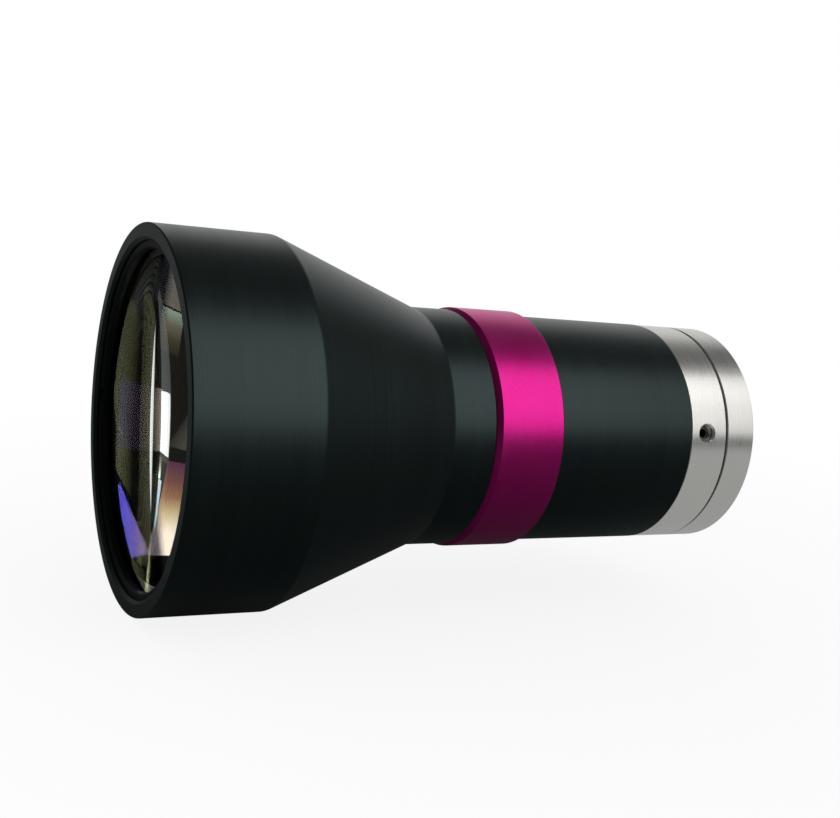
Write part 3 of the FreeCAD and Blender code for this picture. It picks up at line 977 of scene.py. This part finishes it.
@dataclass
class LensElement:
    """Polished lens element with a ground, blackened edge.

    Attributes:
        node: Solid that it stands for.
        front: Face towards the front.
        rear: Face towards the camera.
        slot: Material slot of the record; not used.
        front_finish: Material of the front face.
        rear_finish: Material of the rear face.
        edge_finish: Material of the edge.
    """

    node: str
    front: GlassFace
    rear: GlassFace
    slot: Slot
    front_finish: Material
    rear_finish: Material
    edge_finish: Material
    bevel: float = 0.2
    steps: int = 40

    def build(self) -> None:
        """Make the element."""
        radius = radius_of(self.node)
        front = front_of(self.node) - min(0.0, self.front.sag(radius))
        rear = rear_of(self.node) - max(0.0, self.rear.sag(radius))
        heights = [(radius - self.bevel) * step / self.steps for step in range(self.steps + 1)]
        ahead, behind, out = unit(-1.0, 1.0), unit(1.0, 1.0), (0.0, 1.0)
        rings: list[Ring] = []
        for height in heights:
            slope = self.front.slope(height)
            after, slot = (ahead, 1) if height == heights[-1] else (slope, 0)
            rings.append(Ring(front + self.front.sag(height), height, slope, after, slot))
        rings.append(Ring(front + self.front.sag(radius) + self.bevel, radius, ahead, out, 1))
        rings.append(Ring(rear + self.rear.sag(radius) - self.bevel, radius, out, behind, 1))
        for height in reversed(heights):
            along, outward = self.rear.slope(height)
            slope = (-along, -outward)
            before = behind if height == heights[-1] else slope
            rings.append(Ring(rear + self.rear.sag(height), height, before, slope, 2))
        shell = Shell()
        shell.add_turned(rings, SEGMENTS, closed=False)
        materials = [self.front_finish, self.edge_finish, self.rear_finish]
        piece = shell.finish(f"polished_{self.node}", materials)
        settle(piece, Body.LENS, self.node)


@dataclass
class Optics:
    """All seven lens elements, front to rear."""

    finishes: Finishes

    def build(self) -> None:
        """Make the elements."""
        front, front_rear = self.finishes.front_face, self.finishes.front_rear_face
        objective, relay = self.finishes.objective_glass, self.finishes.relay_glass
        cement, edge = self.finishes.cement, self.finishes.inner
        elements = [
            ("front_element", 210.0, -260.0, Slot.FRONT_GLASS, front, front_rear),
            ("objective_crown", 95.0, -80.0, Slot.OBJECTIVE_GLASS, objective, cement),
            ("objective_flint", -80.0, -300.0, Slot.OBJECTIVE_GLASS, cement, objective),
            ("relay_meniscus", -40.0, -26.0, Slot.RELAY_GLASS, relay, relay),
            ("relay_crown", 45.0, -34.0, Slot.RELAY_GLASS, relay, cement),
            ("relay_flint", -34.0, 60.0, Slot.RELAY_GLASS, cement, relay),
            ("relay_biconvex", 48.0, -60.0, Slot.RELAY_GLASS, relay, relay),
        ]
        for node, ahead, behind, slot, ahead_finish, behind_finish in elements:
            faces = (GlassFace(ahead), GlassFace(behind))
            LensElement(node, *faces, slot, ahead_finish, behind_finish, edge).build()


@dataclass
class AccentRing:
    """Magenta ring between the housing and the barrel."""

    finishes: Finishes
    bore: float = 18.5
    front_chamfer: float = 0.8
    rear_chamfer: float = 0.25
    front_edge: float = 0.08
    shoulder_edge: float = 0.12
    rear_edge: float = 0.06

    def build(self) -> None:
        """Make the ring."""
        front, rear = front_of("accent_ring"), rear_of("accent_ring")
        radius = radius_of("accent_ring")
        corners = [
            Corner(front, radius - self.front_chamfer, self.front_edge),
            Corner(front + self.front_chamfer, radius, self.shoulder_edge),
            Corner(rear - self.rear_chamfer, radius, self.rear_edge),
            Corner(rear, radius - self.rear_chamfer, self.rear_edge),
            Corner(rear, self.bore),
            Corner(front, self.bore),
        ]
        piece = turned_piece("magenta_accent_ring", corners, [self.finishes.magenta])
        settle(piece, Body.LENS, "accent_ring")


@dataclass
class RearBarrel:
    """Slim black barrel that screws into the housing and carries the lens cell."""

    finishes: Finishes
    nose: float = 17.5
    seat: float = 18.45
    bore: float = 15.6
    tail_bore: float = 17.0
    tail_lead: float = 0.3
    edge: float = 0.22
    lead: float = 0.3

    def build(self) -> None:
        """Make the barrel."""
        front, rear = front_of("rear_barrel"), rear_of("rear_barrel")
        ring_front, ring_rear = front_of("accent_ring"), rear_of("accent_ring")
        radius = radius_of("rear_barrel")
        tail = front_of("mount_collar") - self.tail_lead
        corners = [
            inside(front, self.nose - self.lead),
            inside(front + self.lead, self.nose),
            inside(ring_front, self.nose),
            inside(ring_front, self.seat),
            Corner(ring_rear, self.seat),
            Corner(ring_rear, radius, self.edge),
            Corner(rear, radius, self.edge),
            inside(rear, self.tail_bore),
            inside(tail, self.tail_bore),
            inside(tail, self.bore),
            inside(front, self.bore),
        ]
        piece = turned_piece("slim_rear_barrel", corners, [self.finishes.black, self.finishes.inner])
        settle(piece, Body.LENS, "rear_barrel")


@dataclass
class RadialHole:
    """Tapped hole through a turned wall, set into the wall's own grid of faces.

    Attributes:
        x: Place of the hole along the optical axis.
        segment: Segment of the wall that the hole's axis lies on.
        segments: Segments of the whole wall.
        wall: Radius of the wall.
        radius: Radius of the hole.
        mouth: Width of its chamfer.
        floor: Distance of its inner end from the optical axis.
        half_length: Half of the patch that it takes out of the wall, along the optical axis.
        half_segments: Half of that patch round the optical axis, in segments of the wall.
        pitch: Pitch of its thread.
        thread_height: How far the thread stands in from the bore.
        thread_segments: Steps in one turn of the thread.
        side_steps: Points along each side of the patch.
        rounds: Times that the chamfer's reach is worked out again from the last.
        shares: Parts of the way from the patch's border to the hole, where loops lie.
    """

    x: float
    segment: int
    segments: int
    wall: float
    radius: float
    mouth: float
    floor: float
    half_length: float
    half_segments: int
    pitch: float = 0.5
    thread_height: float = 0.14
    thread_segments: int = 48
    side_steps: int = 10
    rounds: int = 6
    shares: tuple[float, ...] = (0.0, 0.4, 0.75, 1.0)

    @property
    def axis(self) -> Axis:
        """The hole's own axis, which starts on the optical axis."""
        out = OPTICAL_AXIS.slope(0.0, 1.0, TURN * self.segment / self.segments)
        return Axis(Vector((self.x, 0.0, 0.0)), out, Vector((1.0, 0.0, 0.0)))

    def covers(self, segment: int) -> bool:
        """Whether a segment of the wall belongs to the patch."""
        return -self.half_segments <= segment - self.segment < self.half_segments

    def on_wall(self, along: float, across: float) -> Vector:
        """Point of the wall at distances from the hole's axis."""
        rise = math.sqrt(self.wall**2 - across**2)
        return self.axis.point(rise, math.hypot(along, across), math.atan2(across, along))

    def border(self) -> list[tuple[float, float]]:
        """Points round the patch, as distances along and across from the hole's axis."""
        count = self.half_segments
        rows = [self.wall * math.sin(TURN * k / self.segments) for k in range(-count, count + 1)]
        sides = [self.half_length * (2 * k / self.side_steps - 1) for k in range(self.side_steps + 1)]
        loop = [(self.half_length, across) for across in rows[:-1]]
        loop += [(along, rows[-1]) for along in reversed(sides[1:])]
        loop += [(-self.half_length, across) for across in reversed(rows[1:])]
        loop += [(along, rows[0]) for along in sides[:-1]]
        return loop

    def mouth_radius(self, angle: float) -> float:
        """Radius at which the chamfer's cone meets the round wall, in one direction."""
        reach = self.radius + self.mouth
        for _ in range(self.rounds):
            rise = math.sqrt(self.wall**2 - (reach * math.sin(angle)) ** 2)
            reach = self.radius + rise - (self.wall - self.mouth)
        return reach

    def add_to(self, shell: Shell) -> None:
        """Fill the patch with the wall round the hole, its chamfer and its threaded bore.

        Args:
            shell: Shell of the turned piece.
        """
        axis = self.axis
        border = self.border()
        angles = [math.atan2(across, along) for along, across in border]
        loops: list[list[int]] = []
        for share in self.shares:
            loop = []
            for (along, across), angle in zip(border, angles):
                reach = self.mouth_radius(angle)
                inner = (reach * math.cos(angle), reach * math.sin(angle))
                spot = (along + (inner[0] - along) * share, across + (inner[1] - across) * share)
                loop.append(shell.add_point(self.on_wall(*spot)))
            loops.append(loop)
        count = len(border)
        for outer, inner_loop in zip(loops, loops[1:]):
            for k in range(count):
                n = (k + 1) % count
                corners = [outer[k], outer[n], inner_loop[n], inner_loop[k]]
                normals = [Vector((0.0, shell.points[c].y, shell.points[c].z)) for c in corners]
                shell.add_face(corners, normals)
        throat = self.wall - self.mouth
        low = [shell.add_point(axis.point(throat, self.radius, a)) for a in angles]
        floor = [shell.add_point(axis.point(self.floor, self.radius, a)) for a in angles]
        for k in range(count):
            n = (k + 1) % count
            here, there = angles[k], angles[n]
            shell.add_face(
                [loops[-1][k], loops[-1][n], low[n], low[k]],
                [axis.slope(*unit(1.0, -1.0), a) for a in (here, there, there, here)],
            )
            shell.add_face(
                [low[k], low[n], floor[n], floor[k]],
                [axis.slope(0.0, -1.0, a) for a in (here, there, there, here)],
            )
        crest = self.radius - self.thread_height
        steps = self.thread_segments
        shell.add_thread(axis, self.floor, throat, self.radius, crest, self.pitch, steps)


@dataclass
class MountCollar:
    """Bare aluminium collar with three tapped holes for the screws that clamp the mount."""

    finishes: Finishes
    spigot: float = 16.97
    spigot_edge: float = 0.2
    bore: float = 16.2
    bore_edge: float = 0.15
    light_bore: float = 13.5
    web: float = 1.1
    edge: float = 0.22
    screws: int = 3
    screw_clocking: float = 9.0
    hole_radius: float = 1.5
    hole_mouth: float = 0.35
    hole_half_length: float = 2.6
    hole_half_segments: int = 5
    segments: int = 240

    def holes(self) -> list[RadialHole]:
        """The screw holes, evenly round the collar; the first faces the viewer's side."""
        first = (90 - self.screw_clocking) / 360
        return [
            RadialHole(
                x=middle_of("mount_set_screw_1"),
                segment=round((first + k / self.screws) * self.segments),
                segments=self.segments,
                wall=radius_of("mount_collar"),
                radius=self.hole_radius,
                mouth=self.hole_mouth,
                floor=self.bore,
                half_length=self.hole_half_length,
                half_segments=self.hole_half_segments,
            )
            for k in range(self.screws)
        ]

    def build(self) -> None:
        """Make the collar."""
        holes = self.holes()
        spigot_front = front_of("mount_collar")
        front, rear = rear_of("rear_barrel"), rear_of("mount_collar")
        radius = radius_of("mount_collar")
        patch = holes[0].x - self.hole_half_length
        rings = eased_outline([
            Corner(spigot_front, self.spigot, self.spigot_edge),
            Corner(front, self.spigot),
            Corner(front, radius, self.edge),
            Corner(patch, radius),
            Corner(patch + 2 * self.hole_half_length, radius),
            Corner(rear, radius, self.edge),
            inside(rear, self.bore, self.bore_edge),
            inside(front + self.web, self.bore),
            inside(front + self.web, self.light_bore),
            Corner(spigot_front, self.light_bore),
        ])
        holed = next(i for i, ring in enumerate(rings) if ring.x == patch and ring.r == radius)
        shell = Shell()
        shell.add_turned(
            rings,
            self.segments,
            skip=lambda i, s: i == holed and any(hole.covers(s) for hole in holes),
        )
        for hole in holes:
            hole.add_to(shell)
        piece = shell.finish("bare_mount_collar", [self.finishes.bare, self.finishes.inner])
        settle(piece, Body.LENS, "mount_collar")


@dataclass
class CameraMount:
    """Mount that turns in the collar: flange, pilot and the thread that the camera takes."""

    finishes: Finishes
    flange_width: float = 6.2
    flange_chamfer: float = 0.35
    flange_edge: float = 0.06
    edge: float = 0.22
    pilot: float = 16.15
    pilot_edge: float = 0.2
    groove_depth: float = 0.9
    groove_floor: float = 0.3
    thread_crest: float = 12.7
    thread_root: float = 12.2
    thread_pitch: float = 25.4 / 32
    thread_relief: float = 0.3
    thread_chamfer: float = 0.35
    thread_edge: float = 0.05
    bore: float = 11.0
    bore_edge: float = 0.1
    baffle_bore: float = 12.2

    def build(self) -> None:
        """Make the mount."""
        front, rear = front_of("camera_mount"), rear_of("camera_mount")
        radius = radius_of("mount_collar")
        screw = middle_of("mount_set_screw_1")
        baffle = rear_of("rear_baffle")
        half = self.groove_floor + self.groove_depth
        rings = eased_outline([
            Corner(front, self.pilot, self.pilot_edge),
            Corner(screw - half, self.pilot),
            Corner(screw - self.groove_floor, self.pilot - self.groove_depth),
            Corner(screw + self.groove_floor, self.pilot - self.groove_depth),
            Corner(screw + half, self.pilot),
            Corner(-self.flange_width, self.pilot),
            Corner(-self.flange_width, radius, self.edge),
            Corner(-self.flange_chamfer, radius, self.flange_edge),
            Corner(0.0, radius - self.flange_chamfer, self.flange_edge),
            Corner(0.0, self.thread_root),
            Corner(rear - self.thread_chamfer, self.thread_root),
            Corner(rear, self.thread_root - self.thread_chamfer, self.thread_edge),
            inside(rear, self.bore, self.bore_edge),
            inside(baffle, self.bore),
            inside(baffle, self.baffle_bore),
            inside(front, self.baffle_bore),
        ])
        shell = Shell()
        shell.add_turned(rings, SEGMENTS)
        root, crest, pitch = self.thread_root, self.thread_crest, self.thread_pitch
        shell.add_thread(OPTICAL_AXIS, self.thread_relief, rear, root, crest, pitch)
        piece = shell.finish("bare_camera_mount", [self.finishes.bare, self.finishes.inner])
        settle(piece, Body.MOUNT, "camera_mount")


@dataclass
class PlainSolids:
    """Solids that keep their own shape and only get a finish."""

    finishes: Finishes

    def build(self) -> None:
        """Give each solid the material of its slot."""
        finish_by_slot = {
            Slot.BLACK.value: self.finishes.black,
            Slot.MAGENTA.value: self.finishes.magenta,
            Slot.BARE.value: self.finishes.bare,
            Slot.INNER.value: self.finishes.inner,
            Slot.STEEL.value: self.finishes.steel,
            Slot.FRONT_GLASS.value: self.finishes.front_face,
            Slot.OBJECTIVE_GLASS.value: self.finishes.objective_glass,
            Slot.RELAY_GLASS.value: self.finishes.relay_glass,
        }
        for part in frame["record"]["subparts"]:
            solid = frame["nodes"][part["node"]]
            solid.data.materials.clear()
            solid.data.materials.append(finish_by_slot[part["material_slot"]])


@dataclass(frozen=True)
class Softbox:
    """Lamp behind a sheet of diffuser, which only mirrors and shaded surfaces see.

    Attributes:
        name: Name of the lamp.
        place: Middle of its face, in metres.
        facing: Direction that it faces.
        width: Size of its face across, in metres.
        height: Size of its face along its upright, in metres.
        radiance: How bright its face is; a white sheet seen by the eye is one.
        upright: Direction that its height is measured along.
        sheet: Colours of the diffuser from its lower to its upper edge; none is plain white.
        lit: Names of the only pieces that it lights; none is all.
    """

    name: str
    place: Triple
    facing: Triple
    width: float
    height: float
    radiance: float
    upright: Triple = UP
    sheet: Stops = ()
    lit: tuple[str, ...] = ()

    def build(self) -> None:
        """Hang the lamp."""
        data = bpy.data.lights.new(self.name, "AREA")
        data.shape = "RECTANGLE"
        data.size, data.size_y = self.width, self.height
        data.energy = self.radiance * math.pi * self.width * self.height
        if self.sheet:
            self.dye(data)
        lamp = new_object(self.name, data)
        back = -Vector(self.facing).normalized()
        upright = Vector(self.upright)
        up = (upright - back * upright.dot(back)).normalized()
        stand(lamp, Vector(self.place), up.cross(back), up, back)
        lamp.visible_camera = False
        if self.lit:
            group = bpy.data.collections.new(f"lit_by_{self.name}")
            for name in self.lit:
                group.objects.link(bpy.data.objects[name])
            lamp.light_linking.receiver_collection = group

    def dye(self, data: bpy.types.Light) -> None:
        """Colour the lamp's diffuser along its height.

        Args:
            data: The lamp.
        """
        data.use_nodes = True
        tree = data.node_tree
        tree.nodes.clear()
        place = add_node(tree, "ShaderNodeNewGeometry").outputs["Parametric"]
        parts = add_node(tree, "ShaderNodeSeparateXYZ", inputs={0: place})
        colour = add_node(tree, "ShaderNodeValToRGB", inputs={"Fac": parts.outputs["Y"]})
        set_stops(colour.color_ramp, self.sheet)
        light = add_node(tree, "ShaderNodeEmission", inputs={"Color": colour.outputs[0]})
        add_node(tree, "ShaderNodeOutputLight", inputs={"Surface": light.outputs[0]})


def toward_glass(bearing: float, distance: float, height: float) -> tuple[Triple, Triple]:
    """Place and facing of an upright card before the front glass.

    Args:
        bearing: Angle of the card from +Y towards -X, seen from the glass, in degrees.
        distance: Level distance of the card from the glass, in metres.
        height: Height of its middle over the optical axis, in metres.

    Returns:
        Place of its middle, and the direction that it faces.
    """
    way = Vector((-math.sin(math.radians(bearing)), math.cos(math.radians(bearing)), 0.0))
    place = Vector((front_of("front_housing") * MM, 0.0, height)) + way * distance
    return tuple(place), tuple(-way)


def softboxes() -> list[Softbox]:
    """List the lamps.

    A tall strip beside the lens draws its long highlight, a card to the right fills the cone, and
    a sheet behind draws the thin light edge on top. The bare metal has a strip above and a sheet
    below of its own, and the rim has a card. The small lamps stand before the front glass, which
    mirrors them at a slant; what they light is the glass alone.

    Returns:
        The lamps; each row below has a lamp's fields in their order.
    """
    bare = ("bare_mount_collar", "bare_camera_mount")
    rim = ("flared_front_housing", "front_retaining_ring")
    glass = ("polished_front_element",)
    amber = ((0.0, "3C3A36"), (0.33, "646250"), (0.66, "9C9F94"), (1.0, "D6FFFA"))
    blue = ((0.0, "D8DCDC"), (0.4, "BCD2EA"), (1.0, "AAD2FF"))
    leaf = ((0.0, "505050"), (0.35, "A8A8A8"), (0.8, "FFFFFF"))
    dusk = ((0.0, "4F2D51"), (0.3, "704A4B"), (0.5, "8F7059"), (0.65, "C4B898"), (0.85, "FFFFFF"))
    for_all = [
        ("key_strip", (0.36, -0.63, 0.49), (0.0, 0.63, -0.49), 0.78, 1.0, 1.6),
        ("right_card", (1.0, -0.15, 0.1), (-1.0, 0.15, -0.1), 0.9, 0.9, 0.1),
        ("rear_sheet", (0.6, 0.95, 0.4), (-0.6, -0.95, -0.4), 1.2, 1.0, 0.65),
    ]
    for_bare = [
        ("bare_strip", (0.49, -0.31, 0.54), (-0.5, 0.31, -0.54), 0.6, 0.3, 0.3),
        ("bare_low", (0.12, -0.13, -0.0293), UP, 0.3, 0.3, 0.32, (0.0, 1.0, 0.0)),
    ]
    for_rim = [("rim_card", *toward_glass(30.0, 0.5, 0.05), 0.5, 0.3, 0.11)]
    for_glass = [
        ("white_card", *toward_glass(15.0, 0.12, -0.0195), 0.04, 0.02, 1.5),
        ("warm_card", *toward_glass(23.5, 0.3, 0.0005), 0.037, 0.023, 2.7, UP, amber),
        ("cool_card", *toward_glass(24.5, 0.3, 0.044), 0.079, 0.062, 1.4, UP, blue),
        ("leaf_card", (-0.2332, 0.1483, -0.0294), UP, 0.13, 0.062, 2.0, (-0.766, -0.643, 0.0), leaf),
        (
            "left_card", (-0.2703, 0.1978, -0.0215), (0.637, -0.771, 0.0), 0.016, 0.064, 2.0,
            (-0.771, -0.637, 0.0), leaf,
        ),
        ("floor_lamp", (-0.1475, 0.0522, -0.0295), UP, 0.026, 0.088, 9.0, (0.509, -0.861, 0.0), dusk),
        ("sail_card", (-0.109, 0.024, -0.0255), (0.0, -1.0, 0.0), 0.008, 0.018, 20.0, (0.49, 0.0, 0.87)),
    ]
    groups = ((for_all, ()), (for_bare, bare), (for_rim, rim), (for_glass, glass))
    return [Softbox(*values, lit=pieces) for group, pieces in groups for values in group]


@dataclass
class Studio:
    """Pale floor, soft lights and the camera of the photograph."""

    rim_to_camera: Triple = (-46.58, -180.46, 31.62)
    yaw: float = 27.98
    pitch: float = 8.0
    roll: float = 5.85
    focal_px: float = 1197.0
    image_width_px: float = 840.0
    sensor_mm: float = 36.0
    nearest_m: float = 0.01
    floor_size_m: float = 8.0
    shadow_reach_m: float = 0.05
    white_from_m: float = 0.24
    floor_glow: float = 0.84
    paper: str = "D8D8D8"
    paper_in_mirrors: str = "585C5C"
    room_low: float = 0.05
    room_high: float = 0.15
    room_high_from: float = 0.3
    room_fill: float = 0.9

    def add_camera(self) -> None:
        """Set the camera where the photograph was taken from."""
        yaw, pitch, roll = (math.radians(a) for a in (self.yaw, self.pitch, self.roll))
        flat = math.cos(pitch)
        ahead = Vector((math.sin(yaw) * flat, math.cos(yaw) * flat, -math.sin(pitch)))
        level = Vector((math.cos(yaw), -math.sin(yaw), 0.0))
        upright = level.cross(ahead)
        right = level * math.cos(roll) + upright * math.sin(roll)
        data = bpy.data.cameras.new("photograph_camera")
        data.sensor_width = self.sensor_mm
        data.lens = self.focal_px / self.image_width_px * self.sensor_mm
        data.clip_start = self.nearest_m
        camera = new_object("photograph_camera", data)
        place = Vector((front_of("front_housing"), 0.0, 0.0)) + Vector(self.rim_to_camera)
        stand(camera, place * MM, right, right.cross(ahead), -ahead)
        bpy.context.scene.camera = camera

    def add_floor(self) -> None:
        """Lay the pale floor that the front housing stands over, whiter away from the lens."""
        half = self.floor_size_m / 2
        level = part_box("front_housing")[0].z
        corners = [(x * half, y * half, level) for x, y in ((-1, -1), (1, -1), (1, 1), (-1, 1))]
        mesh = bpy.data.meshes.new("studio_floor")
        mesh.from_pydata(corners, [], [(0, 1, 2, 3)])
        material = empty_material("pale_paper_floor")
        tree = material.node_tree
        rays = add_node(tree, "ShaderNodeLightPath")
        away = length_of(tree, place_on_piece(tree))
        reach = (self.shadow_reach_m, self.white_from_m)
        glow = stretch(tree, away, reach, (self.floor_glow, 1.0), "SMOOTHSTEP")
        share = work_out(tree, "MULTIPLY", rays.outputs["Is Camera Ray"], glow)
        papers = linear(self.paper), linear(self.paper_in_mirrors)
        colour = blend(tree, seen_in_mirrors(tree, rays), *papers)
        paper = add_node(tree, "ShaderNodeBsdfDiffuse", inputs={"Color": colour})
        white = add_node(tree, "ShaderNodeEmission", inputs={"Strength": 1.0})
        close_material(material, blend_surfaces(tree, share, paper.outputs[0], white.outputs[0]))
        mesh.materials.append(material)
        new_object("studio_floor", mesh)

    def add_world(self) -> None:
        """Fill the room: white behind the lens for the eye, and dim where its mirrors look."""
        world = bpy.data.worlds.new("studio_room")
        world.use_nodes = True
        tree = world.node_tree
        tree.nodes.clear()
        rays = add_node(tree, "ShaderNodeLightPath")
        place = add_node(tree, "ShaderNodeTexCoord").outputs["Generated"]
        along = add_node(tree, "ShaderNodeSeparateXYZ", inputs={0: place}).outputs["X"]
        rooms = (self.room_low, self.room_high)
        behind = stretch(tree, along, (0.0, self.room_high_from), rooms, "SMOOTHSTEP")
        fill = blend(tree, seen_in_mirrors(tree, rays), self.room_fill, behind, "FLOAT")
        strength = blend(tree, rays.outputs["Is Camera Ray"], fill, 1.0, "FLOAT")
        inputs = {"Color": linear("FFFFFF"), "Strength": strength}
        light = add_node(tree, "ShaderNodeBackground", inputs=inputs)
        add_node(tree, "ShaderNodeOutputWorld", inputs={"Surface": light.outputs[0]})
        bpy.context.scene.world = world

    def build(self) -> None:
        """Set up the whole studio."""
        self.add_camera()
        self.add_floor()
        self.add_world()
        for softbox in softboxes():
            softbox.build()
        bpy.context.scene.view_settings.view_transform = "Standard"


def main() -> None:
    """Build the lens and its studio."""
    logging.basicConfig(level=logging.INFO, format="%(name)s: %(message)s")
    finishes = Finishes()
    PlainSolids(finishes).build()
    FrontHousing(finishes).build()
    FrontSpacer(finishes).build()
    Optics(finishes).build()
    AccentRing(finishes).build()
    RearBarrel(finishes).build()
    MountCollar(finishes).build()
    CameraMount(finishes).build()
    Studio().build()


if __name__ == "__main__":
    main()
